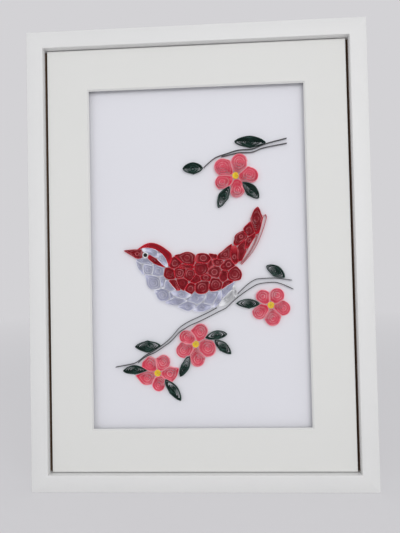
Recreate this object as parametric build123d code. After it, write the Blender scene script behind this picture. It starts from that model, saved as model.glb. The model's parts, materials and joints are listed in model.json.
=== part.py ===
import os
from math import acos, atan2, cos, hypot, pi, sin, sqrt

from build123d import *

# All sizes are millimetres. The picture stands upright and faces -Y, with the
# origin under the middle of the frame. Places on the card are read as
# (right, up) from the centre of the frame.

# Frame
outer_width = 335.0
outer_height = 455.0
frame_depth = 25.0
face_width = 16.5
rebate_width = 6.0
key_length = 9.0
key_thickness = 0.7
key_depth = 6.0

# Mat and what lies behind it
side_gap = 2.5
end_gap = 1.0
mat_recess = 6.0
mat_border = 40.0
mat_thickness = 1.5
spacer_thickness = 5.0
spacer_setback = 8.0
card_thickness = 1.0
board_thickness = 3.0
board_clearance = 0.75

# Fixings on the back
point_width = 7.0
point_thickness = 0.6
point_reach = 9.0
point_shoulder = 5.4
point_bite = 4.0
points_up_side = 3
points_along_end = 2
point_spacing = 130.0
hanger_width = 46.0
hanger_height = 9.0
hanger_thickness = 0.8
hanger_foot = 9.0
hanger_slope = 3.0
hanger_lift = 2.0
hanger_drop = 26.0
tooth_count = 9
tooth_pitch = 2.2
tooth_depth = 1.7
tooth_flat = 0.18
nail_radius = 0.8
nail_head_radius = 2.2
nail_head_height = 0.8
nail_stop = 0.6

# Quilled paper
art_side_margin = 16.0
art_end_margin = 27.4
strip_height = 3.0
coil_wall = 0.3
core_wall = 0.65
branch_wall = 0.5
press_gap = 0.12
petal_turns = 1.8
leaf_turns = 1.75
coil_turns = 1.5
core_turns = 2.2

# How a strip winds: the clear space between its turns and the least that a
# turn draws in towards the eye, both as they are in a coil with room enough;
# in a slim coil the strip and the space each take a share of its half width
turn_gap = 0.25
least_draw = 0.16
slim_share = 0.2
eye_share = 1.15

# The least share of its reach that a coil keeps where it is pressed
least_share = 0.15

# Straight chords stand for round outlines, so corners go slightly outside
chord_allowance = 1.03
core_sides = 10
round_sides = 12
mitre_limit = 0.35

# How far a cut runs past the face it starts from
cut_over = 1.0

# Worked-out places
front_y = -frame_depth / 2
back_y = frame_depth / 2
middle_z = outer_height / 2
mat_front_y = front_y + mat_recess
mat_back_y = mat_front_y + mat_thickness
card_front_y = mat_back_y + spacer_thickness
card_back_y = card_front_y + card_thickness
board_back_y = card_back_y + board_thickness
open_width = outer_width - 2 * face_width
open_height = outer_height - 2 * face_width
mat_width = open_width - 2 * side_gap
mat_height = open_height - 2 * end_gap
window_width = mat_width - 2 * mat_border
window_height = mat_height - 2 * mat_border
rebate_half_x = open_width / 2 + rebate_width
rebate_half_z = open_height / 2 + rebate_width

made = {}


def block(x_size, z_size, y_from, y_to, x_mid=0.0, z_mid=0.0):
    place = Pos(x_mid, (y_from + y_to) / 2, middle_z + z_mid)
    return place * Box(x_size, y_to - y_from, z_size)


def plate(points, y_from, y_to):
    ring = Wire.make_polygon([(x, y_from, middle_z + z) for x, z in points])
    return extrude(Face(ring), amount=y_to - y_from, dir=(0, 1, 0))


# Frame: four mitred rails with a rebate cut from the back
half_x = outer_width / 2
half_z = outer_height / 2
in_x = open_width / 2
in_z = open_height / 2
rail_outlines = {
    "top_rail": [(-half_x, half_z), (half_x, half_z), (in_x, in_z), (-in_x, in_z)],
    "bottom_rail": [(-half_x, -half_z), (half_x, -half_z), (in_x, -in_z), (-in_x, -in_z)],
    "left_rail": [(-half_x, -half_z), (-half_x, half_z), (-in_x, in_z), (-in_x, -in_z)],
    "right_rail": [(half_x, -half_z), (half_x, half_z), (in_x, in_z), (in_x, -in_z)],
}
rebate = block(2 * rebate_half_x, 2 * rebate_half_z, card_back_y, back_y + cut_over)

# A thin key across each mitre, flush with the back
key_inset = (face_width - rebate_width) / 2
keys = []
for side in (-1, 1):
    for end in (-1, 1):
        key = Box(key_length, key_depth, key_thickness)
        turn = 45 if side * end < 0 else -45
        spot = Pos(
            side * (half_x - key_inset),
            back_y - key_depth / 2,
            middle_z + end * (half_z - key_inset),
        )
        keys.append(spot * Rot(0, -turn, 0) * key)

# Flat points driven into the rebate wall behind the board
point_outline = [
    (-point_bite, -point_width / 2),
    (point_shoulder, -point_width / 2),
    (point_reach, 0.0),
    (point_shoulder, point_width / 2),
    (-point_bite, point_width / 2),
]
retainers = []
for side in (-1, 1):
    for step in range(points_up_side):
        up = (step - (points_up_side - 1) / 2) * point_spacing
        ring = [(side * (rebate_half_x - a), up + b) for a, b in point_outline]
        retainers.append(plate(ring, board_back_y, board_back_y + point_thickness))
    for step in range(points_along_end):
        along = (step - (points_along_end - 1) / 2) * point_spacing
        ring = [(along + b, side * (rebate_half_z - a)) for a, b in point_outline]
        retainers.append(plate(ring, board_back_y, board_back_y + point_thickness))

for name, outline in rail_outlines.items():
    rail = plate(outline, front_y, back_y) - rebate
    for cutter in keys + retainers:
        rail = rail - cutter
    made[name] = rail
made["corner_keys"] = Compound(children=keys)
made["retainer_points"] = Compound(children=retainers)

# Mat with a bevelled window, wider at the front
sheet = block(mat_width, mat_height, mat_front_y, mat_back_y)
bevel_plane = Plane(origin=(0, mat_back_y, middle_z), x_dir=(1, 0, 0), z_dir=(0, -1, 0))
back_cut = bevel_plane * Rectangle(
    window_width - 2 * mat_thickness, window_height - 2 * mat_thickness
)
made["mat_board"] = sheet - extrude(back_cut, amount=mat_thickness, taper=-45)

# Foam strips that hold the mat off the card
spacer_width = mat_border - 2 * spacer_setback
end_mid = mat_height / 2 - mat_border / 2
side_mid = mat_width / 2 - mat_border / 2
end_length = mat_width - 2 * spacer_setback
side_length = mat_height - 2 * spacer_setback - 2 * spacer_width
for name, up in (("top_spacer", end_mid), ("bottom_spacer", -end_mid)):
    made[name] = block(end_length, spacer_width, mat_back_y, card_front_y, 0, up)
for name, out in (("left_spacer", -side_mid), ("right_spacer", side_mid)):
    made[name] = block(spacer_width, side_length, mat_back_y, card_front_y, out, 0)

made["backing_card"] = block(mat_width, mat_height, card_front_y, card_back_y)
back_board = block(
    2 * (rebate_half_x - board_clearance),
    2 * (rebate_half_z - board_clearance),
    card_back_y,
    board_back_y,
)

# Toothed hanger bridged between two feet on the board
hang_z = middle_z + half_z - face_width - hanger_drop
flat = hanger_width / 2 - hanger_foot
bridge = [
    (-hanger_width / 2, 0.0),
    (-flat, 0.0),
    (-flat + hanger_slope, hanger_lift),
    (flat - hanger_slope, hanger_lift),
    (flat, 0.0),
    (hanger_width / 2, 0.0),
]
section = [(x, board_back_y + y) for x, y in bridge]
section += [(x, board_back_y + y + hanger_thickness) for x, y in reversed(bridge)]
hanger_ring = Wire.make_polygon([(x, y, hang_z) for x, y in section])
hanger = extrude(Face(hanger_ring), amount=hanger_height, dir=(0, 0, 1))
notch_half = (tooth_pitch - tooth_flat) / 2
hanger_low = hang_z - middle_z
for step in range(tooth_count):
    along = (step - (tooth_count - 1) / 2) * tooth_pitch
    notch = [
        (along - notch_half, hanger_low - cut_over),
        (along + notch_half, hanger_low - cut_over),
        (along + notch_half, hanger_low),
        (along, hanger_low + tooth_depth),
        (along - notch_half, hanger_low),
    ]
    hanger = hanger - plate(notch, board_back_y, back_y)

nail_x = hanger_width / 2 - hanger_foot / 2
foot_y = board_back_y + hanger_thickness
shank_length = hanger_thickness + board_thickness - nail_stop
nails = []
for side in (-1, 1):
    spot = Pos(side * nail_x, 0, hang_z + hanger_height / 2) * Rot(-90, 0, 0)
    shank = Pos(0, 0, foot_y - shank_length / 2) * Cylinder(nail_radius, shank_length)
    nail_head = Cylinder(nail_head_radius, nail_head_height)
    nail_head = Pos(0, 0, foot_y + nail_head_height / 2) * nail_head
    nails.append(spot * (shank + nail_head))
    hanger = hanger - spot * shank
    back_board = back_board - spot * shank
made["back_board"] = back_board
made["sawtooth_hanger"] = hanger
made["hanger_nails"] = Compound(children=nails)


# Quilled pieces. A coil is an eye and a ring of rays from it to its outline.
def as_coil(eye, outline):
    rays = []
    for x, y in outline:
        reach = hypot(x - eye[0], y - eye[1])
        rays.append([(x - eye[0]) / reach, (y - eye[1]) / reach, reach])
    return {"eye": eye, "rays": rays}


def drop(bulb, radius, point, count=10):
    # a round coil pinched to one point
    lead = atan2(point[1] - bulb[1], point[0] - bulb[0])
    tangent = acos(radius / hypot(point[0] - bulb[0], point[1] - bulb[1]))
    rays = []
    for step in range(count):
        turn = 2 * pi * step / count
        swing = min(turn, 2 * pi - turn)
        reach = radius * chord_allowance
        if swing < tangent:
            reach = max(reach, radius / cos(tangent - swing))
        rays.append([cos(lead + turn), sin(lead + turn), reach])
    return {"eye": bulb, "rays": rays}


def lens(start, end, left, right, spans=4):
    # a coil pinched at both ends; left and right are its bulges seen along it
    half = hypot(end[0] - start[0], end[1] - start[1]) / 2
    along = ((end[0] - start[0]) / (2 * half), (end[1] - start[1]) / (2 * half))
    aside = (-along[1], along[0])
    middle = ((start[0] + end[0]) / 2, (start[1] + end[1]) / 2)
    outline = []
    for bulge, way in ((right, 1), (left, -1)):
        bend = (half**2 + bulge**2) / (2 * bulge)
        for step in range(spans):
            x = -way * half * cos(pi * step / spans)
            y = -way * chord_allowance * (sqrt(bend**2 - x**2) - bend + bulge)
            outline.append((
                middle[0] + x * along[0] + y * aside[0],
                middle[1] + x * along[1] + y * aside[1],
            ))
    shift = (left - right) / 2
    eye = (middle[0] + shift * aside[0], middle[1] + shift * aside[1])
    return as_coil(eye, outline)


def oval(middle, across, up, lean=0.0, count=9):
    tilt = lean * pi / 180
    outline = []
    for step in range(count):
        turn = 2 * pi * step / count
        x = across * chord_allowance * cos(turn)
        y = up * chord_allowance * sin(turn)
        outline.append((
            middle[0] + x * cos(tilt) - y * sin(tilt),
            middle[1] + x * sin(tilt) + y * cos(tilt),
        ))
    return as_coil(middle, outline)


def corners(coil):
    eye = coil["eye"]
    return [(eye[0] + x * reach, eye[1] + y * reach) for x, y, reach in coil["rays"]]


def edge_normals(ring):
    found = []
    for place, (x, y) in enumerate(ring):
        far_x, far_y = ring[(place + 1) % len(ring)]
        long = hypot(far_x - x, far_y - y)
        if long > 1e-6:
            found.append(((far_y - y) / long, (x - far_x) / long))
    return found


def widest_gap(ring, other):
    # the direction in which two convex outlines stand furthest apart
    best = None
    ways = edge_normals(ring) + [(-x, -y) for x, y in edge_normals(other)]
    for x, y in ways:
        top = max(x * a + y * b for a, b in ring)
        low = min(x * a + y * b for a, b in other)
        if best is None or low - top > best[2] - best[1]:
            best = ((x, y), top, low)
    return best


def flatten(coil, way, limit):
    eye = coil["eye"]
    room = limit - way[0] * eye[0] - way[1] * eye[1]
    for ray in coil["rays"]:
        toward = way[0] * ray[0] + way[1] * ray[1]
        if toward > 0 and toward * ray[2] > room:
            ray[2] = max(room / toward, least_share * ray[2])


def press_together(coil, other):
    # two coils that would run into each other flatten along a line between them
    way, top, low = widest_gap(corners(coil), corners(other))
    if low - top < read_gap:
        line = (top + low) / 2
        flatten(coil, way, line - read_gap / 2)
        flatten(other, (-way[0], -way[1]), -line - read_gap / 2)


def press_against(coil, quads):
    # strips and crescents keep their place and the coil gives way
    for quad in quads:
        way, top, low = widest_gap(corners(coil), quad)
        if low - top < read_gap:
            flatten(coil, way, low - read_gap)


def covers(ring, spot):
    sides = zip(ring, ring[1:] + ring[:1])
    x, y = spot
    return all((b[0] - a[0]) * (y - a[1]) >= (b[1] - a[1]) * (x - a[0]) for a, b in sides)


def openings(coil, others, spring):
    # how far each ray of a coil lengthens when the coil is let go
    eye = coil["eye"]
    found = []
    for x, y, reach in coil["rays"]:
        grown = spring
        for step in range(1, round(opening["reach"] / opening["step"]) + 1):
            gap = step * opening["step"]
            spot = (eye[0] + x * (reach + gap), eye[1] + y * (reach + gap))
            if any(covers(ring, spot) for ring in others):
                grown = max(gap, spring)
                break
        found.append(grown)
    return found


def inset(line, depth, closed):
    # the same line moved to its left by depth, with square mitres
    last = len(line) - 1
    moved = []
    for place, (x, y) in enumerate(line):
        before = line[place - 1] if place > 0 or closed else None
        after = line[(place + 1) % len(line)] if place < last or closed else None
        sides = []
        for one, two in ((before, (x, y)), ((x, y), after)):
            if one is not None and two is not None:
                long = hypot(two[0] - one[0], two[1] - one[1])
                sides.append(((one[1] - two[1]) / long, (two[0] - one[0]) / long))
        sum_x = sum(side[0] for side in sides)
        sum_y = sum(side[1] for side in sides)
        spread = max((sum_x**2 + sum_y**2) / len(sides), mitre_limit)
        moved.append((x + depth * sum_x / spread, y + depth * sum_y / spread))
    return moved


def stand(ring, hole=None):
    # raise a flat outline off the card by the height of a strip
    wire = Wire.make_polygon([(x, card_front_y, middle_z + y) for x, y in ring])
    holes = []
    if hole:
        holes = [Wire.make_polygon([(x, card_front_y, middle_z + y) for x, y in hole])]
    return extrude(Face(wire, holes), amount=strip_height, dir=(0, -1, 0))


def wound(coil, wall, turns):
    # one strip wound inwards from where its outline is nearest to the eye, its
    # outer end tucked into the space before the next turn; it ends where it
    # would close the eye
    rays = coil["rays"]
    count = len(rays)
    first = min(range(count), key=lambda place: rays[place][2])
    slim = art * rays[first][2]
    thin = min(wall, slim_share * slim)
    space = min(turn_gap, slim_share * slim)
    close = (thin + space) / slim
    draw = max(close, least_draw)
    line = []
    for step in range(int(turns * count) + 1):
        x, y, reach = rays[(first + step) % count]
        scale = 1.0
        if step == 0:
            scale = 1 - close + (thin + space / 2) / (reach * art)
        if step >= count:
            scale = 1 - close - draw * (step - count) / count
        if scale * slim < eye_share * thin:
            break
        line.append((
            art * (coil["eye"][0] + x * reach * scale),
            art * (coil["eye"][1] + y * reach * scale),
        ))
    return stand(line + inset(line, thin, False)[::-1])


def strip(points, wall):
    line = [(art * x, art * y) for x, y in points]
    return stand(line + inset(line, wall, False)[::-1])


def strip_quads(points, wall):
    # the strip as four-cornered blocks, for pressing coils against
    inner = inset(points, wall / art, False)
    quads = []
    for place in range(len(points) - 1):
        quads.append([inner[place + 1], inner[place], points[place], points[place + 1]])
    return quads


def loop(points, wall):
    ring = [(art * x, art * y) for x, y in points]
    return stand(ring, inset(ring, wall, True))


# Branches, each strip on edge, read from left to right
branches = {
    "upper_branch_top": [
        (7.2, 88.2), (14, 94.5), (20, 98.7), (30, 101.4), (42, 105.2), (55.5, 104.8),
        (62, 107.6), (70, 110.6), (90, 115),
    ],
    "upper_branch_low": [
        (25, 98.6), (34, 100.4), (42, 102.3), (55, 101.7), (60, 103.6), (66, 106.2), (90, 110),
    ],
    "lower_branch_left": [
        (-85, -109), (-75, -107.2), (-66, -105.6), (-61, -102.6), (-55, -97.4), (-46, -93.2),
        (-35, -85.8), (-27.5, -79), (-21, -71), (-15, -67), (-10, -64.2), (0, -60),
        (10, -55.4), (17.3, -51.6),
    ],
    "lower_branch_low": [
        (-62, -104.8), (-57, -100.2), (-52, -97.4), (-46, -95.6), (-35, -88.4), (-27.5, -83.2),
        (-20.5, -74.6), (-15, -71.7), (-10, -68.6), (0, -64.7), (10, -60), (20, -54.9),
        (26.8, -52.2), (35, -43.9), (45, -36.6), (55, -30.3), (60, -28.4), (72.5, -27.2),
        (80, -28.4), (92.5, -34.6),
    ],
    "lower_branch_right": [
        (38, -38.4), (45, -31.6), (50, -27.6), (55, -24.6), (58, -23.6), (75, -23.2),
        (82, -24.3), (91.5, -25.8),
    ],
}

# Flowers: round petals pinched towards a tight middle coil
cores = {
    "core_top": (38.6, 79.5),
    "core_right": (70.3, -49.8),
    "core_middle": (-4.6, -87.0),
    "core_left": (-43.0, -115.0),
}
core_round = {"across": 3.3, "up": 3.3}
petals = {
    "petals_top": [
        drop((25.8, 88.6), 8.0, (35.3, 81.3)),
        drop((42.7, 93.5), 7.5, (39.3, 83.2)),
        drop((53.1, 79.2), 7.7, (42.4, 79.3)),
        drop((39.3, 65.1), 7.1, (38.8, 75.7)),
        drop((25.3, 73.0), 7.0, (35.1, 77.9)),
    ],
    "petals_right": [
        drop((62.6, -41.3), 6.7, (68.1, -46.7)),
        drop((76.5, -40.1), 6.8, (72.2, -46.5)),
        drop((82.2, -53.0), 6.7, (73.9, -50.8)),
        drop((71.8, -62.7), 7.2, (70.6, -53.6)),
        drop((58.9, -56.3), 6.8, (66.7, -51.6)),
    ],
    "petals_middle": [
        drop((-14.1, -79.6), 6.2, (-7.5, -84.6)),
        drop((0.3, -74.1), 7.2, (-3.2, -83.5)),
        drop((7.0, -91.0), 8.3, (-1.0, -87.9)),
        drop((-3.3, -101.8), 7.1, (-4.3, -90.8)),
        drop((-17.0, -93.0), 6.8, (-8.2, -88.7)),
    ],
    "petals_left": [
        drop((-51.6, -105.5), 6.7, (-45.5, -112.2)),
        drop((-37.2, -103.9), 6.5, (-41.3, -111.6)),
        drop((-30.5, -116.0), 6.3, (-39.2, -115.3)),
        drop((-42.0, -126.5), 6.2, (-42.7, -118.8)),
        drop((-54.5, -119.5), 6.7, (-46.6, -116.2)),
    ],
}

leaves = {
    "leaf_01": lens((38, 113.7), (69.3, 111.6), 6.4, 5.6),
    "leaf_02": lens((-14.2, 88), (6.3, 88.2), 6.3, 5.6),
    "leaf_03": lens((20.6, 47.8), (32.6, 70), 5.9, 5.2),
    "leaf_04": lens((45.2, 72.6), (61.2, 56.2), 6.4, 5.4),
    "leaf_05": lens((66.8, -10.7), (84.6, -22.9), 6.2, 5.0),
    "leaf_06": lens((36.2, -47.4), (61, -48.8), 5.4, 4.6),
    "leaf_07": lens((6.4, -80.4), (26.8, -77.4), 5.4, 4.4),
    "leaf_08": lens((13.4, -82.6), (30.2, -97.2), 5.2, 4.6),
    "leaf_09": lens((-20.8, -118.8), (-10.4, -98.6), 5.6, 4.6),
    "leaf_10": lens((-77.8, -112.4), (-54.4, -112.2), 5.4, 4.6),
    "leaf_11": lens((-35.6, -121.6), (-20.4, -142.6), 5.2, 4.6),
    "leaf_12": lens((-65.4, -88.6), (-39.6, -88), 5.4, 5.4),
}

# Bird: a crescent cap over coils pressed together
cap_outer = [
    (-60.6, 8.6), (-54, 13.3), (-47.5, 15), (-40, 13.2), (-32.5, 8.2), (-25.4, 2), (-29.8, -9.4),
]
cap_inner = [
    (-60.6, 8.6), (-54, 10), (-48, 9.8), (-42, 7.6), (-36.4, 4), (-32.4, -1.8), (-29.8, -9.4),
]
head = {
    "beak": [drop((-60.2, 4.0), 4.2, (-74.3, 7.4))],
    "brow_front": [lens((-58.9, 7.6), (-40.2, 0.6), 4.9, 0.4)],
    "brow_rear": [drop((-35.4, -4.3), 3.2, (-43.6, 7.2))],
    "cheek": [lens((-51.4, 1.6), (-34.4, -9.4), 3.7, 3.1)],
}
bird_eye = {"middle": (-53.1, 2.4), "radius": 1.95, "ring_radius": 2.82}
body = {
    "throat_coils": [
        lens((-62, -2.2), (-45.2, -9.4), 4.2, 1.4),
        lens((-62, -3.4), (-55.2, -16.3), 3.0, 1.5),
        oval((-51, -11.9), 5.2, 5.2),
        oval((-40.2, -14.8), 5.6, 5.8),
    ],
    "breast_coils": [
        drop((-44.8, -25.3), 6.8, (-54.3, -16.2)),
        lens((-37, -20.0), (-36.6, -31), 2.2, 2.2),
        drop((-31.2, -29.6), 4.5, (-22.5, -33.4)),
        drop((-36, -37.2), 6.1, (-44.4, -32.6)),
        lens((-29.6, -34.6), (-27.2, -41.8), 1.6, 1.6),
    ],
    "belly_coils": [
        lens((-27.6, -35), (-6.4, -38.4), 2.4, 4.4),
        lens((-35, -44.8), (-13, -44.6), 4.4, 3.1),
        lens((-13.4, -43.2), (6.6, -38.6), 3.0, 4.8),
        drop((-10.6, -49.3), 4.4, (-23.3, -49.7)),
        lens((-7.8, -52.8), (14.4, -48.4), 3.4, 3.8),
        drop((10.2, -42.6), 5.6, (20.4, -35.2)),
        lens((21, -35.6), (14.2, -51), 2.7, 2.7),
        lens((34.2, -27), (21.4, -44.6), 2.4, 4.6),
    ],
    "vent_coils": [
        lens((34.6, -33), (20.6, -49.4), 4.4, 3.0),
        lens((34.2, -31.4), (36, -40.6), 2.2, 1.8),
    ],
    "wing_coils": [
        oval((-29.8, -15.9), 5.0, 6.6),
        oval((-17.8, -15.6), 5.6, 5.4),
        lens((-31, -20.8), (-20, -31.8), 3.5, 3.3),
        oval((-16.2, -26.3), 6.0, 5.1, 110),
        oval((-9.2, -18.4), 5.8, 5.7),
        oval((-8.6, -30.4), 4.6, 4.6),
        oval((-3.2, -23.2), 4.0, 3.8),
        oval((1.4, -31), 6.5, 6.4),
        oval((6.6, -21.6), 4.6, 3.2),
        oval((16, -29), 6.4, 5.9),
    ],
    "back_coils": [
        oval((-24.2, -6.3), 5.8, 5.9),
        drop((-10.6, -2.2), 6.2, (-25.2, 1.2)),
        lens((-21.4, -10.2), (-4.2, -10.8), 3.4, 3.2),
        oval((3.6, -2.6), 8.2, 5.2),
        lens((9.6, 2.0), (18.8, -2.4), 1.7, 2.4),
        oval((2.2, -12.3), 7.0, 6.9),
        oval((11.8, -8.2), 3.0, 3.8),
    ],
    "rump_coils": [
        oval((16.2, -15.4), 6.4, 6.0),
        oval((19.2, -6.6), 5.2, 4.7),
        oval((28.3, -9.9), 7.4, 4.8),
        oval((24.8, -19.6), 4.3, 4.6),
        oval((34.4, -18.9), 7.5, 7.2),
        lens((21.4, -34.2), (36.6, -25.6), 4.8, 0.4),
    ],
    "tail_coils": [
        lens((18.8, -2.6), (32.3, 9.8), 2.4, 6.6),
        lens((33.2, 10.4), (35.6, -8.4), 5.8, 3.6),
        lens((47.6, 16.8), (39.6, -5.6), 3.4, 6.2),
        oval((42.2, 17.0), 6.8, 5.2, 38),
        oval((51.0, 24.2), 5.6, 5.5),
        lens((57.8, 23.4), (46.4, 6.4), 0.5, 5.6),
    ],
    "tail_tip": [lens((59.7, 47.2), (56.8, 22.9), 4.8, 5.9)],
}
tail_loops = {
    "tail_loop_inner": [
        (41.6, -8.3), (47.2, -1.5), (51.8, 5.2), (55.5, 11.8), (58.4, 18.4), (57.5, 19.4),
        (54.3, 15), (50.9, 9.3), (47.7, 3.6), (44.6, -1.8),
    ],
    "tail_loop_outer": [
        (42.3, -9.4), (48.8, -3), (54.7, 4.2), (59.7, 13), (63.7, 22.5), (66.6, 31),
        (68.6, 37.8), (67.4, 39.9), (65.2, 38.8), (63.8, 33.5), (62.6, 28), (59.6, 18.8),
        (56.6, 11.8), (52.7, 4.9), (48.1, -1.9),
    ],
}

# When a coil is let go it opens out a little by itself, and over a gap to a
# neighbour where one is near enough to stop it
opening = {"petals": 0.6, "leaves": 0.3, "bird": 1.1, "reach": 5.1, "step": 0.3}

# The places above are read from the picture and scaled to fill the window
read_half_width = max(abs(x) for line in branches.values() for x, y in line)
read_half_height = max(abs(y) for leaf in leaves.values() for x, y in corners(leaf))
art = min(
    (window_width / 2 - art_side_margin) / read_half_width,
    (window_height / 2 - art_end_margin) / read_half_height,
)
read_gap = press_gap / art

# Settle every coil: first against what keeps its place, then each pair
blocks = []
for name, points_along in branches.items():
    blocks += strip_quads(points_along, branch_wall)
for place in range(len(cap_outer) - 1):
    quad = [cap_outer[place], cap_inner[place], cap_inner[place + 1], cap_outer[place + 1]]
    blocks.append([spot for at, spot in enumerate(quad) if spot not in quad[:at]])
for ring in tail_loops.values():
    half_way = len(ring) // 2
    for place in range(half_way):
        far = len(ring) - 1 - place
        quad = [ring[place], ring[place + 1], ring[far - 1], ring[far]]
        blocks.append([spot for at, spot in enumerate(quad) if spot not in quad[:at]])
for spot in cores.values():
    blocks.append(corners(oval(spot, **core_round, count=round_sides)))
ring_round = bird_eye["ring_radius"]
blocks.append(corners(oval(bird_eye["middle"], ring_round, ring_round, count=round_sides)))

loose = []
springs = []
for group, kind in ((petals, "petals"), (head, "bird"), (body, "bird")):
    for coils in group.values():
        loose += coils
        springs += [opening[kind]] * len(coils)
loose += leaves.values()
springs += [opening["leaves"]] * len(leaves)
outlines = [corners(coil) for coil in loose]
for place, coil in enumerate(loose):
    others = outlines[:place] + outlines[place + 1:]
    for ray, grown in zip(coil["rays"], openings(coil, others, springs[place])):
        ray[2] += grown
for coil in loose:
    press_against(coil, blocks)
for place, coil in enumerate(loose):
    for other in loose[place + 1:]:
        press_together(coil, other)

for name, points_along in branches.items():
    made[name] = strip(points_along, branch_wall)
for name, coil in leaves.items():
    made[name] = wound(coil, coil_wall, leaf_turns)
for name, coils in petals.items():
    wounds = [wound(coil, coil_wall, petal_turns) for coil in coils]
    made[name] = Compound(children=wounds)
for name, spot in cores.items():
    core = oval(spot, **core_round, count=core_sides)
    made[name] = wound(core, core_wall, core_turns)
for group in (head, body):
    for name, coils in group.items():
        wounds = [wound(coil, coil_wall, coil_turns) for coil in coils]
        made[name] = wounds[0] if len(wounds) == 1 else Compound(children=wounds)
cap_ring = loop(cap_outer[::-1] + cap_inner[1:-1], coil_wall)
cap_middle = []
for outer, inner in zip(cap_outer[1:-1], cap_inner[1:-1]):
    cap_middle.append(((outer[0] + inner[0]) / 2, (outer[1] + inner[1]) / 2))
made["head_cap"] = Compound(children=[cap_ring, strip(cap_middle, coil_wall)])
for name, ring in tail_loops.items():
    made[name] = loop(ring, coil_wall)
eye_x, eye_up = bird_eye["middle"]
eye_spot = Pos(art * eye_x, card_front_y - strip_height / 2, middle_z + art * eye_up)
eye_spot = eye_spot * Rot(-90, 0, 0)
eye_round = Cylinder(art * bird_eye["radius"], strip_height)
ring_hole = Cylinder(art * bird_eye["radius"] + press_gap / 2, strip_height)
made["eye"] = eye_spot * eye_round
made["eye_ring"] = eye_spot * (Cylinder(art * ring_round, strip_height) - ring_hole)

os.makedirs("parts", exist_ok=True)
for name, shape in made.items():
    export_step(shape, "parts/" + name + ".step")
print(len(made), "pieces written")
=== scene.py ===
# A bird on a flowering branch, rolled from paper strips, in a white frame.
# Metres throughout; the picture stands upright and faces -Y.
import json
import math
import random

import bmesh
import bpy
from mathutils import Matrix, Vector
from mathutils.geometry import convex_hull_2d, intersect_line_line_2d


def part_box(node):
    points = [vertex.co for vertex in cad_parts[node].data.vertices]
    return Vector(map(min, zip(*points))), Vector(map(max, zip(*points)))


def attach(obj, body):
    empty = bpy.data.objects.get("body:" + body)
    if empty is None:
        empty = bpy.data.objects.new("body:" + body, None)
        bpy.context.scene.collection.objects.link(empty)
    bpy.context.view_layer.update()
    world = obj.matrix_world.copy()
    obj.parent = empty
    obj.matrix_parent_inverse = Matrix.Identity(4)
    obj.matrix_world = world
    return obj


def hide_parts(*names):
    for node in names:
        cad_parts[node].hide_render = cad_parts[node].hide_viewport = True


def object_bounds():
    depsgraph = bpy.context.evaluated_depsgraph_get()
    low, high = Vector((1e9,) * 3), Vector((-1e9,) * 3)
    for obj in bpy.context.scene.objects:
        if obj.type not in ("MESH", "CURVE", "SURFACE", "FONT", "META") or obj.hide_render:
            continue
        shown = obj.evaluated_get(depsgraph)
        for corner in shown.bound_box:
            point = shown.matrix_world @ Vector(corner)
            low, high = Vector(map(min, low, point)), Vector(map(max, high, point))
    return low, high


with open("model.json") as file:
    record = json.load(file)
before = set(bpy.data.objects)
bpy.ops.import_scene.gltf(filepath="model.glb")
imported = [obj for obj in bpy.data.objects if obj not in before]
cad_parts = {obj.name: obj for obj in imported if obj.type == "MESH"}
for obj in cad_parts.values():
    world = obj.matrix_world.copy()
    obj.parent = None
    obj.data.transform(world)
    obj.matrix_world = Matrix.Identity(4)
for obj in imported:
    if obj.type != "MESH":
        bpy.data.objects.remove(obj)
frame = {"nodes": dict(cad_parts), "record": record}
cadBox = [list(corner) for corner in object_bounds()]
print("frame loaded:", len(frame["nodes"]), "pieces")

mm = 0.001
chance = random.Random(23)
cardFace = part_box("backing_card")[0].y
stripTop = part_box("petals_top")[0].y
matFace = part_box("mat_board")[0].y
frameLow, frameHigh = (Vector(corner) for corner in cadBox)
pictureMiddle = (frameLow + frameHigh) / 2


class Link:
    # a value inside a finish; arithmetic on it adds Math nodes
    def __init__(self, finish, socket):
        self.finish = finish
        self.socket = socket

    def maths(self, operation, first, second):
        return self.finish.add("ShaderNodeMath", {"operation": operation}, {0: first, 1: second})

    def __add__(self, other):
        return self.maths("ADD", self, other)

    def __radd__(self, other):
        return self.maths("ADD", other, self)

    def __sub__(self, other):
        return self.maths("SUBTRACT", self, other)

    def __rsub__(self, other):
        return self.maths("SUBTRACT", other, self)

    def __mul__(self, other):
        return self.maths("MULTIPLY", self, other)

    def __rmul__(self, other):
        return self.maths("MULTIPLY", other, self)

    def __gt__(self, other):
        return self.maths("GREATER_THAN", self, other)

    def __lt__(self, other):
        return self.maths("LESS_THAN", self, other)

    def __abs__(self):
        return self.maths("ABSOLUTE", self, 0.0)


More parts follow.
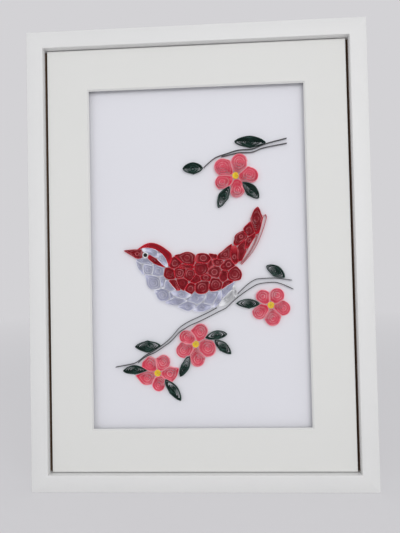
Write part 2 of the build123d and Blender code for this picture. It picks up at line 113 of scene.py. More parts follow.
class Finish:
    def __init__(self, name, kind="materials"):
        self.result = getattr(bpy.data, kind).new(name)
        self.result.use_nodes = True
        self.nodes = self.result.node_tree.nodes
        self.links = self.result.node_tree.links
        self.shader = self.nodes.get("Principled BSDF")

    def join(self, value, socket):
        if isinstance(value, Link):
            self.links.new(value.socket, socket)
        else:
            socket.default_value = value

    def add(self, kind, settings=None, sockets=None, output=0):
        node = self.nodes.new(kind)
        for name, value in (settings or {}).items():
            if name == "stops":
                for at, (place, shade) in enumerate(value):
                    if at > 1:
                        node.color_ramp.elements.new(place)
                    node.color_ramp.elements[at].position = place
                    node.color_ramp.elements[at].color = (shade, shade, shade, 1)
            else:
                setattr(node, name, value)
        for name, value in (sockets or {}).items():
            self.join(value, node.inputs[name])
        return Link(self, node.outputs[output])

    def feed(self, sockets):
        for name, value in sockets.items():
            self.join(value, self.shader.inputs[name])

    def place(self, stretch=(1, 1, 1)):
        where = self.add("ShaderNodeTexCoord", output="Object")
        return self.add("ShaderNodeMapping", {}, {"Vector": where, "Scale": stretch})

    def axis(self, vector, letter):
        return self.add("ShaderNodeSeparateXYZ", {}, {"Vector": vector}, letter)

    def noise(self, where, scale, detail=3.0, rough=0.55):
        sockets = {"Vector": where, "Scale": scale, "Detail": detail, "Roughness": rough}
        return self.add("ShaderNodeTexNoise", {}, sockets)

    def ramp(self, value, stops):
        return self.add("ShaderNodeValToRGB", {"stops": stops}, {"Fac": value})

    def tint(self, share, first, second):
        settings = {"data_type": "RGBA", "clamp_factor": True}
        return self.add("ShaderNodeMix", settings, {0: share, 6: first, 7: second}, 2)

    def seen(self):
        # 1 where the camera, a mirror or a clear piece looks, 0 for the light itself
        looks = [
            self.add("ShaderNodeLightPath", output=name)
            for name in ("Is Camera Ray", "Is Glossy Ray", "Is Transmission Ray")
        ]
        return looks[0] + looks[1] + looks[2]

    def bump(self, height, distance, strength=1.0):
        sockets = {"Height": height, "Distance": distance, "Strength": strength}
        return self.add("ShaderNodeBump", {}, sockets)


def colour(red, green, blue):
    # colours are written as seen on screen, 0 to 255
    linear = []
    for part in (red, green, blue):
        share = part / 255
        linear.append(share / 12.92 if share < 0.04045 else ((share + 0.055) / 1.055) ** 2.4)
    return (*linear, 1.0)


# finishes of the frame and the boards
lacquerLook = {
    "paint": colour(227, 227, 226),
    "shade": colour(222, 222, 221),
    "wood": colour(134, 104, 78),
    "woodDark": colour(96, 70, 50),
    "sideReach": 0.4 * mm,  # how far the paint runs in behind the mat's face at the sides
    "endReach": 3.5 * mm,  # and at the top and bottom
    "backReach": 0.8 * mm,  # and in from the outer faces round the back
    "ragged": 1.2 * mm,
    "cloudScale": 14.0,
    "peelScale": 900.0,
    "grainScale": 9.0,
    "grainStretch": (60, 60, 2.5),
    "roughness": 0.42,
    "relief": 0.12 * mm,
}


def frameLacquer(look):
    finish = Finish("frameLacquer")
    where = finish.place()
    cloud = finish.noise(where, look["cloudScale"], 4.0)
    peel = finish.noise(where, look["peelScale"], 2.0)
    grain = finish.noise(finish.place(look["grainStretch"]), look["grainScale"], 5.0, 0.65)
    paint = finish.tint(cloud, look["paint"], look["shade"])
    wood = finish.tint(grain, look["woodDark"], look["wood"])
    # bare wood behind the mat and round the back, inside the outer faces
    across = abs(finish.axis(where, "X"))
    up = abs(finish.axis(where, "Z") - pictureMiddle.z)
    deep = finish.axis(where, "Y")
    ragged = (peel - 0.5) * look["ragged"]
    sideRail = up < (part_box("mat_board")[1].z - pictureMiddle.z)
    reach = look["endReach"] + (look["sideReach"] - look["endReach"]) * sideRail
    behind = (deep + ragged) > (matFace + reach)
    insideSides = (across + ragged) < (frameHigh.x - look["backReach"])
    insideEnds = (up + ragged) < (frameHigh.z - pictureMiddle.z - look["backReach"])
    bare = behind * insideSides * insideEnds
    finish.feed({
        "Base Color": finish.tint(bare, paint, wood),
        "Roughness": look["roughness"] + peel * 0.1 + bare * 0.3,
        "Normal": finish.bump(peel * 0.4 + cloud * 0.6 + grain * bare, look["relief"], 0.5),
    })
    return finish.result


matLook = {
    "sheet": colour(225, 225, 222), "shade": colour(221, 221, 218), "core": colour(222, 222, 220),
    "bevelFacing": (-0.9, -0.3),  # between the face and the sides
    "toothScale": 1600.0, "cloudScale": 9.0, "relief": 0.06 * mm,
}


def matPaper(look):
    finish = Finish("matPaper")
    where = finish.place()
    tooth = finish.noise(where, look["toothScale"], 4.0, 0.7)
    cloud = finish.noise(where, look["cloudScale"], 3.0)
    facing = finish.axis(finish.add("ShaderNodeNewGeometry", output="Normal"), "Y")
    bevel = (facing > look["bevelFacing"][0]) * (facing < look["bevelFacing"][1])
    sheet = finish.tint(cloud * 0.7 + tooth * 0.3, look["sheet"], look["shade"])
    finish.feed({
        # the bevel shows the mat's cut core, set a touch darker than the sheet as painted shade on the
        # lit bevel
        "Base Color": finish.tint(bevel, sheet, look["core"]),
        "Roughness": 0.82 + tooth * 0.12,
        "Normal": finish.bump(tooth, look["relief"], 0.6),
    })
    return finish.result


cardLook = {
    "sheet": colour(226, 226, 231), "shade": colour(221, 221, 227),
    "toothScale": 2400.0, "cloudScale": 7.0, "relief": 0.04 * mm,
}


def cardPaper(look):
    finish = Finish("cardPaper")
    where = finish.place()
    tooth = finish.noise(where, look["toothScale"], 3.0, 0.6)
    cloud = finish.noise(where, look["cloudScale"], 2.0)
    finish.feed({
        "Base Color": finish.tint(cloud * 0.7 + tooth * 0.3, look["sheet"], look["shade"]),
        "Roughness": 0.74 + tooth * 0.12,
        "Normal": finish.bump(tooth, look["relief"], 0.5),
    })
    return finish.result


foamLook = {
    "skin": colour(232, 232, 230), "poreShade": colour(205, 205, 203), "cellScale": 1400.0, "relief": 0.2 * mm,
}


def foamStrip(look):
    finish = Finish("foamStrip")
    where = finish.place()
    cells = finish.add("ShaderNodeTexVoronoi", {}, {"Vector": where, "Scale": look["cellScale"]})
    pores = finish.ramp(cells, [(0.15, 1.0), (0.5, 0.0)])
    finish.feed({
        # darker in the pores: painted shade in the open cells
        "Base Color": finish.tint(pores, look["skin"], look["poreShade"]),
        "Roughness": 0.8 + pores * 0.15,
        "Normal": finish.bump(cells, look["relief"], 0.7),
    })
    return finish.result


boardLook = {
    "light": colour(152, 116, 80), "dark": colour(108, 78, 52), "fleck": colour(72, 50, 34),
    "cloudScale": 16.0, "fibreScale": 420.0, "fleckScale": 260.0, "relief": 0.12 * mm,
}


def brownBoard(look):
    finish = Finish("brownBoard")
    where = finish.place()
    cloud = finish.noise(where, look["cloudScale"], 5.0, 0.6)
    fibre = finish.noise(finish.place((3.0, 1.0, 1.0)), look["fibreScale"], 5.0, 0.75)
    flecks = finish.ramp(finish.noise(where, look["fleckScale"], 2.0), [(0.66, 0.0), (0.74, 1.0)])
    ground = finish.tint(cloud * 0.6 + fibre * 0.4, look["dark"], look["light"])
    finish.feed({
        "Base Color": finish.tint(flecks * 0.5, ground, look["fleck"]),
        "Roughness": 0.5 + fibre * 0.25,
        "Normal": finish.bump(fibre, look["relief"], 0.6),
    })
    return finish.result


metalGrain = {"brushScale": 320.0, "cloudScale": 130.0, "stretch": (1.0, 1.0, 14.0), "relief": 0.03 * mm}
steelLook = {"bright": colour(176, 178, 182), "dull": colour(122, 124, 128), "roughness": 0.3}
brassLook = {"bright": colour(214, 178, 108), "dull": colour(158, 122, 66), "roughness": 0.26}


def plainMetal(name, look, grain):
    finish = Finish(name)
    brushed = finish.noise(finish.place(grain["stretch"]), grain["brushScale"], 4.0, 0.6)
    cloud = finish.noise(finish.place(), grain["cloudScale"], 4.0)
    finish.feed({
        "Base Color": finish.tint(cloud, look["bright"], look["dull"]),
        "Metallic": 1.0,
        "Roughness": look["roughness"] + brushed * 0.22,
        "Normal": finish.bump(brushed, grain["relief"], 0.5),
    })
    return finish.result


# paper strips: rim is the outer turns and heart the inner ones, lit and shaded tones of one paper, so the
# rim is a painted highlight and the heart painted shade;
# cut is the edge seen from the front, and glint a painted highlight on the edges of the tighter inner
# turns
paperLooks = {
    "paper_red": {
        "rim": colour(204, 18, 42), "heart": colour(148, 12, 29),
        "cut": colour(162, 16, 36), "glint": colour(232, 128, 134),
    },
    "paper_pink": {
        "rim": colour(255, 168, 178), "heart": colour(240, 64, 96),
        "cut": colour(252, 112, 134), "glint": colour(255, 186, 194),
    },
    "paper_lavender": {
        "rim": colour(250, 250, 254), "heart": colour(197, 198, 219),
        "cut": colour(206, 207, 226), "glint": colour(250, 250, 254),
    },
    "paper_white": {
        "rim": colour(248, 248, 248), "heart": colour(216, 216, 219),
        "cut": colour(228, 228, 231), "glint": colour(250, 250, 250),
    },
    "paper_green": {
        "rim": colour(7, 40, 33), "heart": colour(7, 38, 31),
        "cut": colour(11, 48, 40), "glint": colour(88, 124, 114),
    },
    "paper_yellow": {
        "rim": colour(250, 214, 48), "heart": colour(232, 186, 34),
        "cut": colour(246, 208, 52), "glint": colour(255, 236, 120),
    },
    "paper_grey": {
        "rim": colour(122, 122, 124), "heart": colour(122, 122, 124),
        "cut": colour(10, 10, 12), "glint": colour(24, 24, 26),
    },
    "paper_black": {
        "rim": colour(20, 20, 22), "heart": colour(12, 12, 14),
        "cut": colour(34, 34, 36), "glint": colour(50, 50, 52),
    },
}


paperGrain = {
    "fibreScale": 2600.0, "fibreStretch": (1.0, 0.35, 1.0), "cloudScale": 120.0, "glintPatchScale": 160.0,
    "frontFacing": -0.6, "relief": 0.05 * mm, "specular": 0.35,
}


def stripPaper(name, look, grain):
    finish = Finish(name)
    where = finish.place()
    fibre = finish.noise(finish.place(grain["fibreStretch"]), grain["fibreScale"], 4.0, 0.7)
    cloud = finish.noise(where, grain["cloudScale"], 2.0)
    glintPatch = finish.ramp(finish.noise(where, grain["glintPatchScale"], 2.0), [(0.42, 0.1), (0.6, 1.0)])
    inwardShade = finish.add("ShaderNodeAttribute", {"attribute_name": "inwardShade"}, output="Fac")
    facing = finish.axis(finish.add("ShaderNodeNewGeometry", output="Normal"), "Y")
    # the walls run from the rim's tone to the heart's darker one: painted shade on the inner turns,
    # spread a little at random by the cloud noise
    side = finish.tint(inwardShade + (cloud - 0.5) * 0.4, look["rim"], look["heart"])
    paintedGlint = finish.add("ShaderNodeAttribute", {"attribute_name": "paintedGlint"}, output="Fac")
    # painted highlight: the glint tone in patches on the tighter turns
    lit = finish.tint(glintPatch * paintedGlint, look["cut"], look["glint"])
    edge = finish.tint(inwardShade, look["rim"], lit)
    finish.feed({
        "Base Color": finish.tint((facing < grain["frontFacing"]) * (0.7 + fibre * 0.5), side, edge),
        "Roughness": 0.66 + fibre * 0.25,
        "Specular IOR Level": grain["specular"],
        "Normal": finish.bump(fibre, grain["relief"], 0.5),
    })
    return finish.result


papers = {
    slot: stripPaper(slot.replace("paper_", "strip_"), look, paperGrain)
    for slot, look in paperLooks.items()
}
print("finishes ready:", len(papers), "papers")


# outlines are read from the solids' feet on the card, as rings of (x, z)
def ringArea(ring):
    pairs = zip(ring, ring[1:] + ring[:1])
    return sum(a[0] * b[1] - b[0] * a[1] for a, b in pairs) / 2


def footprints(node):
    mesh = frame["nodes"][node].data
    spots = [(round(vertex.co.x, 6), round(vertex.co.z, 6)) for vertex in mesh.vertices]
    border = set()
    for face in mesh.polygons:
        if face.normal.y < 0.9:
            continue
        corners = [spots[vertex] for vertex in face.vertices]
        for pair in zip(corners, corners[1:] + corners[:1]):
            if pair[::-1] in border:
                border.remove(pair[::-1])
            else:
                border.add(pair)
    follow = dict(sorted(border))
    rings = []
    while follow:
        start = next(iter(follow))
        ring = [start]
        spot = follow.pop(start)
        while spot != start:
            ring.append(spot)
            spot = follow.pop(spot)
        if ringArea(ring) < 0:  # seen from the front, holes run the other way
            rings.append(ring[::-1])
    return rings


def cutEvenly(points, count, closed):
    # the line through the points, cut into equal steps
    line = points + points[:1] if closed else points
    lengths = [(b - a).length for a, b in zip(line, line[1:])]
    step = sum(lengths) / (count if closed else count - 1)
    made = []
    gone = 0.0
    at = 0
    for place in range(count):
        want = place * step
        while at < len(lengths) - 1 and gone + lengths[at] < want:
            gone += lengths[at]
            at += 1
        share = (want - gone) / max(lengths[at], 1e-9)
        made.append(line[at].lerp(line[at + 1], min(share, 1.0)))
    return made


bendSteps = 6


def softLine(points):
    # corners rounded off between the middles of the sides, ends kept
    made = [points[0]]
    for before, here, after in zip(points, points[1:], points[2:]):
        start = (before + here) / 2
        end = (here + after) / 2
        for step in range(bendSteps + 1):
            share = step / bendSteps
            made.append(start.lerp(here, share).lerp(here.lerp(end, share), share))
    made.append(points[-1])
    return made


outlineLook = {
    "softTurn": math.radians(38), "pinchTurn": math.radians(78), "soft": 0.46, "tight": 0.1,
    "leastSide": 0.15 * mm, "leastStep": 0.01 * mm,
    "hidden": 1.004,  # a corner with the strip's outside this much further out isn't on the outside
}


def outerCorners(ring, look):
    # the corners on the outside of a wound strip's footprint, in turn round its middle
    spots = [Vector(spot) for spot in ring]
    hull = [spots[at] for at in convex_hull_2d(ring)]
    middle = sum(hull, Vector((0, 0))) / len(hull)
    kept = []
    for spot in spots:
        way = spot - middle
        furthest = 0.0
        for before, after in zip(spots, spots[1:] + spots[:1]):
            side = after - before
            slant = way.cross(side)
            if abs(slant) > 1e-12 and 0 <= (before - middle).cross(way) / slant <= 1:
                furthest = max(furthest, (before - middle).cross(side) / slant)
        if furthest < look["hidden"]:
            kept.append(spot)
    kept.sort(key=lambda spot: math.atan2(spot.y - middle.y, spot.x - middle.x))
    return [spot for at, spot in enumerate(kept) if (spot - kept[at - 1]).length > look["leastSide"]]


def coilOutline(corners, look):
    # the corners rounded off, the sharper the less; starts at the sharpest
    ways = [after - here for here, after in zip(corners, corners[1:] + corners[:1])]
    turns = [abs(way.angle_signed(ways[at - 1])) for at, way in enumerate(ways)]
    first = turns.index(max(turns))
    made = []
    for step in range(len(corners)):
        at = (first + step) % len(corners)
        here = corners[at]
        sharp = (turns[at] - look["softTurn"]) / (look["pinchTurn"] - look["softTurn"])
        share = look["soft"] + (look["tight"] - look["soft"]) * min(max(sharp, 0.0), 1.0)
        start = here - ways[at - 1] * share
        end = here + ways[at] * share
        for part in range(bendSteps + 1):
            along = part / bendSteps
            made.append(start.lerp(here, along).lerp(here.lerp(end, along), along))
    half = (bendSteps + 1) // 2
    made = made[half:] + made[:half]
    return [spot for at, spot in enumerate(made) if (spot - made[at - 1]).length > look["leastStep"]]


def nearestSide(spot, sides):
    found = []
    for before, after in sides:
        side = after - before
        along = min(max((spot - before).dot(side) / side.length_squared, 0.0), 1.0)
        found.append((before + side * along - spot).length)
    return min(found)


def sidesRound(edge):
    return list(zip(edge, edge[1:] + edge[:1]))


def insideOf(spot, sides):
    crossed = [
        a for a, b in sides
        if (a.y > spot.y) != (b.y > spot.y) and spot.x < a.x + (b.x - a.x) * (spot.y - a.y) / (b.y - a.y)
    ]
    return len(crossed) % 2 == 1


def roomiest(corners):
    # the place inside that is furthest from every side, and that distance
    low = Vector((min(spot.x for spot in corners), min(spot.y for spot in corners)))
    high = Vector((max(spot.x for spot in corners), max(spot.y for spot in corners)))
    sides = sidesRound(corners)
    best = (None, 0.0)
    tries = 18
    for across in range(1, tries):
        for up in range(1, tries):
            spot = Vector((
                low.x + (high.x - low.x) * across / tries,
                low.y + (high.y - low.y) * up / tries,
            ))
            if insideOf(spot, sides):
                room = nearestSide(spot, sides)
                if room > best[1]:
                    best = (spot, room)
    return best


def coilShape(ring, slot, look):
    corners = outerCorners(ring, outlineLook)
    eye, room = roomiest(corners)
    edge = cutEvenly(coilOutline(corners, outlineLook), look["samples"], True)
    return {"eye": eye, "room": room, "edge": edge, "start": edge, "slot": slot, "look": look}


openingLook = {"rounds": 6, "gapPasses": 2, "edgePasses": 4}


def evened(values, passes):
    for smoothing in range(passes):
        values = [
            (before + here + after) / 3
            for before, here, after in zip(values[-1:] + values[:-1], values, values[1:] + values[:1])
        ]
    return values


def neighbours(shape, others, reach):
    far = max((spot - shape["eye"]).length for spot in shape["edge"]) + reach
    found = []
    for other in others:
        if other is not shape and min((spot - shape["eye"]).length for spot in other["edge"]) < far:
            found.append((sidesRound(other["edge"]), other["slot"] in shape["look"]["meets"]))
    return found


def openOut(shape, others):
    # moves the coil's edge half way over narrow gaps to the neighbours that it gives way to
    eye, edge = shape["eye"], shape["edge"]
    limit = shape["look"]["openOut"] * mm
    near = neighbours(shape, others, limit)
    ways = [(spot - eye).normalized() for spot in edge]
    gaps = []
    for spot, way in zip(edge, ways):
        hits = [(limit, False)]
        for sides, meets in near:
            if insideOf(spot, sides):
                hits.append((0.0, False))
            for side in sides:
                hit = intersect_line_line_2d(spot, spot + way * limit, *side)
                if hit:
                    hits.append(((hit - spot).length, meets))
        gaps.append(min(hits))
    moves = evened([gap / 2 if meets else 0.0 for gap, meets in gaps], openingLook["gapPasses"])
    shape["edge"] = [
        spot + way * min(move, gap / 2) for spot, way, move, (gap, meets) in zip(edge, ways, moves, gaps)
    ]


def easeOpening(shape):
    # spikes between neighbours are evened out, and the eye goes to the middle again
    eye = shape["eye"]
    moves = [(spot - start).length for spot, start in zip(shape["edge"], shape["start"])]
    shape["edge"] = [
        start + (start - eye).normalized() * min(move, even)
        for start, move, even in zip(shape["start"], moves, evened(moves, openingLook["edgePasses"]))
    ]
    shape["eye"], shape["room"] = roomiest(shape["edge"])


def pressBack(shape, others):
    # where the edge still runs into a neighbour, it goes back to that neighbour's edge
    eye = shape["eye"]
    near = neighbours(shape, others, 0.0)
    pressed = []
    for spot in shape["edge"]:
        for sides, meets in near:
            if insideOf(spot, sides):
                hits = [intersect_line_line_2d(eye, spot, *side) for side in sides]
                found = [hit for hit in hits if hit]
                spot = min(found, key=lambda hit: (hit - eye).length, default=spot)
        pressed.append(spot)
    shape["edge"] = pressed
    shape["room"] = nearestSide(eye, sidesRound(pressed))


# no two coils are wound alike
unevenLook = {
    "eye": (0.8, 1.25), "heart": (0.7, 1.3), "widestEye": 0.4, "leastFillTurns": 0.6, "easeTurns": 2,
}


def windCoil(shape, uneven):
    # one strip wound from the edge to the eye: its top, its foot, how far in each point is (the share of
    # painted shade) and how much painted glint it gets
    look = shape["look"]
    count = look["samples"]
    eye, room = shape["eye"], shape["room"]
    thin = look["paper"] * mm
    eyeRadius = min(look["eye"] * chance.uniform(*uneven["eye"]) * mm, room * uneven["widestEye"])
    depth = room - thin - eyeRadius
    rim = look["rimTurns"] * look["rimPitch"] * mm
    heart = look["heartTurns"] * look["heartPitch"] * mm * chance.uniform(*uneven["heart"])
    crowd = min(1.0, depth / (rim + heart))
    gap = depth - crowd * (rim + heart)
    fillTurns = max(gap / (look["fillPitch"] * mm), uneven["leastFillTurns"]) if gap > 0 else 0.0
    sections = [
        (crowd * look["rimTurns"], crowd * rim),
        (fillTurns, gap),
        (crowd * heart / (look["heartPitch"] * mm), crowd * heart),
    ]
    total = sum(turns for turns, deep in sections)
    phase = chance.uniform(0, math.tau)
    wave = look["wave"] * mm * min(room / look["wideCoil"], 1.0)
    made = {"top": [], "foot": [], "inwardShade": [], "footInwardShade": [], "paintedGlint": []}
    steps = int(total * count) + 1
    for step in range(steps):
        turn = step / count
        left = turn
        sunk = 0.0
        for turns, deep in sections:
            part = min(left, turns)
            if turns > 0:
                sunk += deep * part / turns
            left -= part
        loose = min(turn / look["rimTurns"], 1.0) * min((total - turn) / uneven["easeTurns"], 1.0)
        swing = phase + turn * math.tau / look["waveTurns"]
        sunk += wave * loose * math.sin(swing)
        inset = min(sunk, crowd * rim)
        share = min(max((sunk - inset) / (depth - crowd * rim), 0.0), 1.0)
        ray = shape["edge"][step % count] - eye
        rounded = share ** look["roundness"]
        outer = (ray.length - thin / 2 - inset) * (1 - rounded) + (room - inset) * rounded
        reach = outer + (eyeRadius - outer) * share
        made["top"].append(eye + ray.normalized() * reach)
        # how far in from the edge, which sets the painted shade of the inner turns
        made["inwardShade"].append(min((ray.length - reach) / (look["rimWidth"] * mm), 1.0) ** 3)
        # painted glint share, highest on the tight turns of the wave
        made["paintedGlint"].append(loose * (0.5 - 0.5 * math.cos(swing)))
    # the strip leans in at its foot, towards the next turn
    tops = made["top"]
    for step, top in enumerate(tops):
        more = step + count < steps
        made["foot"].append(top.lerp(tops[step + count] if more else eye, look["lean"]))
        # the foot takes the next turn's share, so the painted shade is deeper low on each wall
        made["footInwardShade"].append(made["inwardShade"][step + count] if more else 1.0)
    return made


def plainStrip(line, foot, inwardShade):
    same = [inwardShade] * len(line)
    return {"top": line, "foot": foot, "inwardShade": same, "footInwardShade": same, "paintedGlint": [0.0] * len(line)}


edgeLook = {"ragged": 0.12 * mm, "sway": 0.13, "sharp": math.radians(35)}


def stripMesh(strips, thin, look):
    # paper strips on edge: four corners at each point, closed at the ends
    corners = []
    faces = []
    shades = {"inwardShade": [], "paintedGlint": []}
    for strip in strips:
        base = len(corners)
        line = strip["top"]
        ways = []
        for before, after in zip(line[:1] + line[:-1], line[1:] + line[-1:]):
            way = (after - before).normalized()
            ways.append(Vector((-way.y, way.x)) * thin / 2)
        sway = chance.uniform(0, math.tau)
        for at, (spot, below, way) in enumerate(zip(line, strip["foot"], ways)):
            top = stripTop + look["ragged"] * (0.5 + 0.5 * math.sin(sway + at * look["sway"]))
            corners += [
                (below.x - way.x, cardFace, below.y - way.y),
                (spot.x - way.x, top, spot.y - way.y),
                (spot.x + way.x, top, spot.y + way.y),
                (below.x + way.x, cardFace, below.y + way.y),
            ]
            inwardShade, footInwardShade = strip["inwardShade"][at], strip["footInwardShade"][at]
            shades["inwardShade"] += [footInwardShade, inwardShade, inwardShade, footInwardShade]
            shades["paintedGlint"] += [strip["paintedGlint"][at]] * 4
        for at in range(base, len(corners) - 4, 4):
            for side in range(4):
                nextSide = (side + 1) % 4
                faces.append((at + side, at + nextSide, at + nextSide + 4, at + side + 4))
        end = len(corners) - 4
        faces.append((base + 3, base + 2, base + 1, base))
        faces.append((end, end + 1, end + 2, end + 3))
    return corners, faces, shades


def paperPiece(node, slot, strips, thin):
    corners, faces, shades = stripMesh(strips, thin, edgeLook)
    mesh = bpy.data.meshes.new(node + "_paper")
    mesh.from_pydata(corners, [], faces)
    for name, values in shades.items():
        mesh.attributes.new(name, "FLOAT", "POINT").data.foreach_set("value", values)
    mesh.shade_smooth()
    mesh.set_sharp_from_angle(angle=edgeLook["sharp"])
    mesh.materials.append(papers[slot])
    piece = bpy.data.objects.new(node + "_paper", mesh)
    bpy.context.scene.collection.objects.link(piece)
    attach(piece, "root")
    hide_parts(node)


# how each kind of coil is wound, in millimetres: a tight rim, a looser fill, a tight heart
petalWind = {
    "paper": 0.22, "samples": 52, "eye": 0.4, "openOut": 3.2, "lean": 1.0, "wideCoil": 4 * mm,
    "rimTurns": 2, "rimPitch": 0.26, "fillPitch": 0.46, "heartTurns": 4, "heartPitch": 0.42,
    "wave": 0.15, "waveTurns": 4.4, "roundness": 0.5, "rimWidth": 0.6,
    "meets": ("paper_pink", "paper_yellow"),
}
leafWind = {
    "paper": 0.17, "samples": 48, "eye": 0.9, "openOut": 0.3, "lean": 0.5, "wideCoil": 4 * mm,
    "rimTurns": 4, "rimPitch": 0.24, "fillPitch": 0.42, "heartTurns": 3, "heartPitch": 0.32,
    "wave": 0.12, "waveTurns": 4.0, "roundness": 0.7, "rimWidth": 0.8, "meets": (),
}
redWind = {
    "paper": 0.26, "samples": 44, "eye": 0.5, "openOut": 4.2, "lean": 1.0, "wideCoil": 5 * mm,
    "rimTurns": 2, "rimPitch": 0.28, "fillPitch": 0.62, "heartTurns": 3, "heartPitch": 0.45,
    "wave": 0.18, "waveTurns": 3.6, "roundness": 0.36, "rimWidth": 0.6, "meets": ("paper_red",),
}
paleWind = {
    "paper": 0.22, "samples": 44, "eye": 0.5, "openOut": 4.0, "lean": 1.0, "wideCoil": 5 * mm,
    "rimTurns": 2, "rimPitch": 0.23, "fillPitch": 0.7, "heartTurns": 2, "heartPitch": 0.5,
    "wave": 0.34, "waveTurns": 3.1, "roundness": 0.4, "rimWidth": 0.34,
    "meets": ("paper_lavender", "paper_white", "paper_red"),
}
coreWind = {
    "paper": 0.2, "samples": 36, "eye": 0.35, "openOut": 0.1, "lean": 0.4, "wideCoil": 4 * mm,
    "rimTurns": 4, "rimPitch": 0.225, "fillPitch": 0.24, "heartTurns": 3, "heartPitch": 0.23,
    "wave": 0.0, "waveTurns": 3.0, "roundness": 1.0, "rimWidth": 0.8, "meets": (),
}
eyeWind = {
    "paper": 0.2, "samples": 32, "eye": 0.15, "openOut": 0.1, "lean": 0.4, "wideCoil": 4 * mm,
    "rimTurns": 3, "rimPitch": 0.215, "fillPitch": 0.22, "heartTurns": 2, "heartPitch": 0.215,
    "wave": 0.0, "waveTurns": 3.0, "roundness": 1.0, "rimWidth": 0.8, "meets": (),
}

slotOf = {part["node"]: part["material_slot"] for part in frame["record"]["subparts"]}
kinds = {
    "paper_pink": petalWind, "paper_green": leafWind, "paper_red": redWind, "paper_lavender": paleWind,
    "paper_white": paleWind, "paper_yellow": coreWind, "paper_black": eyeWind,
}
stripNodes = ("head_cap", "tail_loop_inner", "tail_loop_outer", "eye_ring")
coilNodes = [node for node, slot in slotOf.items() if slot in kinds and node not in stripNodes]
shapesOf = {}
for node in coilNodes:
    slot = slotOf[node]
    shapesOf[node] = [coilShape(ring, slot, kinds[slot]) for ring in footprints(node)]
allShapes = [shape for shapes in shapesOf.values() for shape in shapes]
fixedShapes = []
for node in stripNodes:
    for ring in footprints(node):
        fixedShapes.append({"edge": [Vector(spot) for spot in ring], "slot": slotOf[node]})
for widening in range(openingLook["rounds"]):
    for shape in allShapes:
        openOut(shape, allShapes + fixedShapes)
for shape in allShapes:
    easeOpening(shape)
for shape in allShapes:
    pressBack(shape, allShapes + fixedShapes)
for node, shapes in shapesOf.items():
    look = kinds[slotOf[node]]
    strips = [windCoil(shape, unevenLook) for shape in shapes]
    paperPiece(node, slotOf[node], strips, look["paper"] * mm)
print("coils wound")


# strips that aren't coils: branches, the cap over the head, the tail loops and the ring round the eye
def sidesOf(ring):
    # the two long sides of a strip's footprint, both from the same end
    spots = [Vector(spot) for spot in ring]
    count = len(spots)
    sizes = sorted((((spots[(at + 1) % count] - spots[at]).length, at) for at in range(count)))
    one, two = sorted(at for size, at in sizes[:2])
    near = spots[one + 1:two + 1]
    far = spots[two + 1:] + spots[:one + 1]
    return near, far[::-1]


branchLook = {"paper": 0.55, "step": 0.8}


def branchPiece(node, look):
    near, far = sidesOf(footprints(node)[0])
    middle = [(a + b) / 2 for a, b in zip(near, far)]
    soft = softLine(middle)
    long = sum((b - a).length for a, b in zip(soft, soft[1:]))
    line = cutEvenly(soft, int(long / (look["step"] * mm)), False)
    paperPiece(node, "paper_grey", [plainStrip(line, line, 1.0)], look["paper"] * mm)


for node, slot in slotOf.items():
    if slot == "paper_grey":
        branchPiece(node, branchLook)


def tipsOf(ring):
    # the two sides of a ring that is pinched at both ends, from tip to tip
    spots = [Vector(spot) for spot in ring]
    count = len(spots)
    turns = []
    for at, here in enumerate(spots):
        turns.append(((here - spots[at - 1]).angle(spots[(at + 1) % count] - here), at))
    one, two = sorted(at for turn, at in sorted(turns)[-2:])
    return spots[one:two + 1], (spots[two:] + spots[:one + 1])[::-1]


capLook = {"paper": 0.24, "lines": 14, "samples": 40, "lean": 0.07}
loopLook = {"paper": 0.2, "lines": 2, "samples": 60, "lean": 0.0}


def nestedPiece(node, look):
    # strips side by side from tip to tip between the two sides
    rings = sorted(footprints(node), key=ringArea)
    near, far = (cutEvenly(softLine(side), look["samples"], False) for side in tipsOf(rings[-1]))
    strips = []
    for at in range(look["lines"]):
        share = at / (look["lines"] - 1)
        line = [a.lerp(b, share) for a, b in zip(near, far)]
        foot = [a.lerp(b, max(share - look["lean"], 0.0)) for a, b in zip(near, far)]
        # the middle strips of the cap take the heart's darker tone as painted shade, the outer ones the
        # rim's lighter tone
        strips.append(plainStrip(line, foot, min(share, 1 - share) * 2))
    paperPiece(node, "paper_red", strips, look["paper"] * mm)


nestedPiece("head_cap", capLook)
for node in ("tail_loop_inner", "tail_loop_outer"):
    nestedPiece(node, loopLook)

ringLook = {"paper": 0.2, "turns": 3.2, "samples": 40}


def eyeRing(look):
    low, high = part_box("eye_ring")
    middle = Vector(((low.x + high.x) / 2, (low.z + high.z) / 2))
    outer = (high.x - low.x) / 2 - look["paper"] * mm / 2
    inner = (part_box("eye")[1].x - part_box("eye")[0].x) / 2 + look["paper"] * mm / 2
    line = []
    for step in range(int(look["turns"] * look["samples"])):
        turn = step / look["samples"]
        reach = outer + (inner - outer) * turn / look["turns"]
        line.append(middle + Vector((math.cos(turn * math.tau), math.sin(turn * math.tau))) * reach)
    paperPiece("eye_ring", "paper_white", [plainStrip(line, line, 0.0)], look["paper"] * mm)


eyeRing(ringLook)
print("strips laid")


railLook = {
    "longEdge": 0.1, "round": 0.7 * mm, "segments": 3, "join": 0.001 * mm,
    "flat": math.radians(1), "arris": math.radians(30), "sharp": math.radians(32),
}


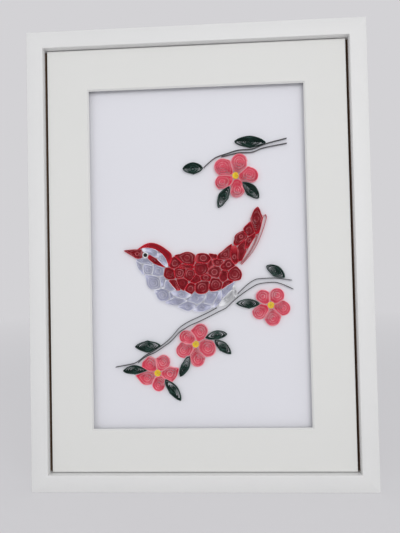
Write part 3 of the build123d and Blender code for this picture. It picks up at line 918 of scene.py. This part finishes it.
def roundedRail(node, finish, look):
    # the rail with its long arrises eased
    mesh = bmesh.new()
    mesh.from_mesh(frame["nodes"][node].data)
    bmesh.ops.remove_doubles(mesh, verts=mesh.verts, dist=look["join"])
    bmesh.ops.dissolve_limit(mesh, angle_limit=look["flat"], verts=mesh.verts, edges=mesh.edges)
    arrises = [
        edge for edge in mesh.edges
        if edge.calc_length() > look["longEdge"] and edge.calc_face_angle(0) > look["arris"]
    ]
    bmesh.ops.bevel(
        mesh, geom=arrises, offset=look["round"], segments=look["segments"], profile=0.5, affect="EDGES"
    )
    made = bpy.data.meshes.new(node + "_painted")
    mesh.to_mesh(made)
    mesh.free()
    made.shade_smooth()
    made.set_sharp_from_angle(angle=look["sharp"])
    made.materials.clear()
    made.materials.append(finish)
    piece = bpy.data.objects.new(node + "_painted", made)
    bpy.context.scene.collection.objects.link(piece)
    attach(piece, "root")
    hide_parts(node)


lacquer = frameLacquer(lacquerLook)
for node, slot in slotOf.items():
    if slot == "frame_white":
        roundedRail(node, lacquer, railLook)

plainFinishes = {
    "mat_white": matPaper(matLook),
    "card_white": cardPaper(cardLook),
    "foam_white": foamStrip(foamLook),
    "hardboard": brownBoard(boardLook),
    "steel": plainMetal("steelPoint", steelLook, metalGrain),
    "brass_plate": plainMetal("brassPlate", brassLook, metalGrain),
}
for node, slot in slotOf.items():
    if slot in plainFinishes:
        shown = frame["nodes"][node]
        shown.data.materials.clear()
        shown.data.materials.append(plainFinishes[slot])
print("frame and boards finished")


# a wide pale floor that runs out into a room of the same tone
floorLook = {
    "paper": colour(220, 219, 221), "tone": colour(211, 210, 213),
    "near": 0.6, "far": 2.0, "share": 0.65, "radius": 30.0,
}


def floorPaper(look):
    # paper that takes the shadow near the picture and evens out to one tone further off
    finish = Finish("floorPaper")
    where = finish.place()
    soft = finish.noise(where, 3.0, 2.0)
    finish.feed({"Base Color": look["paper"], "Roughness": 0.85 + soft * 0.1})
    away = finish.add("ShaderNodeVectorMath", {"operation": "LENGTH"}, {0: where}, "Value")
    spread = {"From Min": look["near"], "From Max": look["far"], "To Min": look["share"], "To Max": 1.0}
    even = finish.add("ShaderNodeMapRange", {}, {"Value": away, **spread})
    glow = finish.add("ShaderNodeEmission", {}, {"Color": look["tone"], "Strength": 1.0})
    paper = Link(finish, finish.shader.outputs[0])
    both = finish.add("ShaderNodeMixShader", {}, {0: finish.seen() * even, 1: paper, 2: glow})
    finish.join(both, finish.nodes["Material Output"].inputs["Surface"])
    return finish.result


def paleFloor(look):
    disc = bmesh.new()
    bmesh.ops.create_circle(disc, cap_ends=True, segments=64, radius=look["radius"])
    mesh = bpy.data.meshes.new("paleFloor")
    disc.to_mesh(mesh)
    disc.free()
    mesh.materials.append(floorPaper(look))
    floor = bpy.data.objects.new("paleFloor", mesh)
    bpy.context.scene.collection.objects.link(floor)


paleFloor(floorLook)

lampLook = {
    "key": {"place": (0.85, -1.9, 0.8), "size": 1.3, "watts": 11.5, "tone": (1.0, 0.99, 0.975)},
    "fill": {"place": (-1.4, -1.6, 0.7), "size": 1.2, "watts": 4.2, "tone": (0.98, 0.99, 1.0)},
    "front": {"place": (0.02, -0.75, 0.3), "size": 0.4, "watts": 0.85, "tone": (1.0, 1.0, 1.0)},
}
for name, look in lampLook.items():
    lamp = bpy.data.lights.new(name + "Lamp", "AREA")
    lamp.energy = look["watts"]
    lamp.size = look["size"]
    lamp.color = look["tone"]
    holder = bpy.data.objects.new(name + "Lamp", lamp)
    holder.location = look["place"]
    holder.rotation_euler = (pictureMiddle - Vector(look["place"])).to_track_quat("-Z", "Y").to_euler()
    holder.visible_camera = False
    bpy.context.scene.collection.objects.link(holder)

roomLook = {"light": colour(226, 227, 230), "strength": 0.74, "shown": floorLook["tone"]}


def paleRoom(look):
    # even light from all round; seen past the floor it has the floor's tone
    room = Finish("paleRoom", "worlds")
    light = room.add("ShaderNodeBackground", {}, {"Color": look["light"], "Strength": look["strength"]})
    shown = room.add("ShaderNodeBackground", {}, {"Color": look["shown"], "Strength": 1.0})
    both = room.add("ShaderNodeMixShader", {}, {0: room.seen(), 1: light, 2: shown})
    room.join(both, room.nodes["World Output"].inputs["Surface"])
    return room.result


bpy.context.scene.world = paleRoom(roomLook)
bpy.context.scene.view_settings.view_transform = "Standard"

cameraLook = {
    "place": (0.019, -0.4094, 0.2084), "turn": (91.26, 1.24, 2.52),
    "lens": 27.7, "sensor": 36.0, "near": 0.01,
}
camera = bpy.data.objects.new("camera", bpy.data.cameras.new("camera"))
camera.data.lens = cameraLook["lens"]
camera.data.sensor_width = cameraLook["sensor"]
camera.data.clip_start = cameraLook["near"]
camera.location = cameraLook["place"]
camera.rotation_euler = [math.radians(turn) for turn in cameraLook["turn"]]
bpy.context.scene.collection.objects.link(camera)
bpy.context.scene.camera = camera

print("scene ready")
